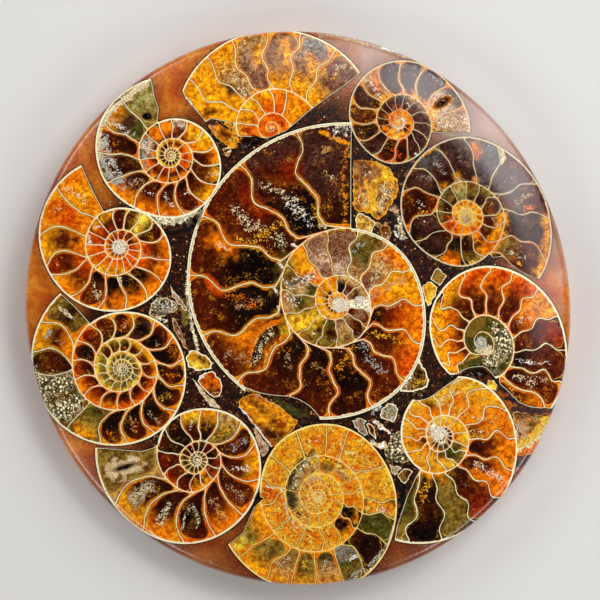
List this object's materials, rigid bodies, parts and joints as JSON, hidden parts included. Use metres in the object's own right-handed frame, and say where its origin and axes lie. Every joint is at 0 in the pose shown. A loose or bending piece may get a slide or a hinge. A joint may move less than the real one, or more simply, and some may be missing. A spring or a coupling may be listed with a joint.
{
  "type": "ammonite cluster plate",
  "caption": "Round, gently domed polished plate of stone matrix with sawn ammonite halves and loose shell chips set flush in its face; flat back.",
  "frame": {"origin": "middle of the flat back, under the middle of the plate's outline", "axes": "+Z out of the polished face; +Y towards the edge that the large ammonite's mouth points to; the plate lies on its back"},
  "size_m": [0.1488, 0.1512, 0.016],
  "materials": {
    "matrix_stone": "satin",
    "dark_calcite": "polished",
    "brown_calcite": "polished",
    "orange_calcite": "polished",
    "amber_calcite": "polished",
    "cream_calcite": "polished",
    "olive_mudstone": "polished",
    "grey_crystal": "satin"
  },
  "bodies": {
    "root": {"matrix": "matrix_stone", "large_ammonite": "dark_calcite", "top_right_ammonite": "dark_calcite", "right_ammonite": "orange_calcite", "upper_right_ammonite": "dark_calcite", "lower_right_ammonite": "orange_calcite", "bottom_ammonite": "amber_calcite", "bottom_left_ammonite": "brown_calcite", "lower_left_ammonite": "dark_calcite", "left_ammonite": "orange_calcite", "upper_left_ammonite": "brown_calcite", "top_ammonite": "orange_calcite", "amber_block": "amber_calcite", "tan_block": "cream_calcite", "brown_chip": "brown_calcite", "cream_lump": "cream_calcite", "olive_square": "olive_mudstone", "yellow_chip": "amber_calcite", "amber_chip": "amber_calcite", "orange_chip": "orange_calcite", "white_sliver": "cream_calcite", "grey_lump": "grey_crystal", "pale_sliver": "brown_calcite", "thin_sliver": "cream_calcite", "amber_wedge": "orange_calcite", "pink_sliver": "cream_calcite", "quarter_chip": "amber_calcite", "striped_block": "olive_mudstone", "white_splinter": "cream_calcite", "grey_chip": "grey_crystal", "rust_chip": "brown_calcite", "cream_chip": "cream_calcite", "speckled_block": "grey_crystal", "blue_grey_lump": "grey_crystal", "brown_oval": "brown_calcite", "rim_shell": "olive_mudstone", "yellow_nub": "amber_calcite", "orange_lump": "orange_calcite", "pale_chip": "cream_calcite"}
  },
  "joints": []
}
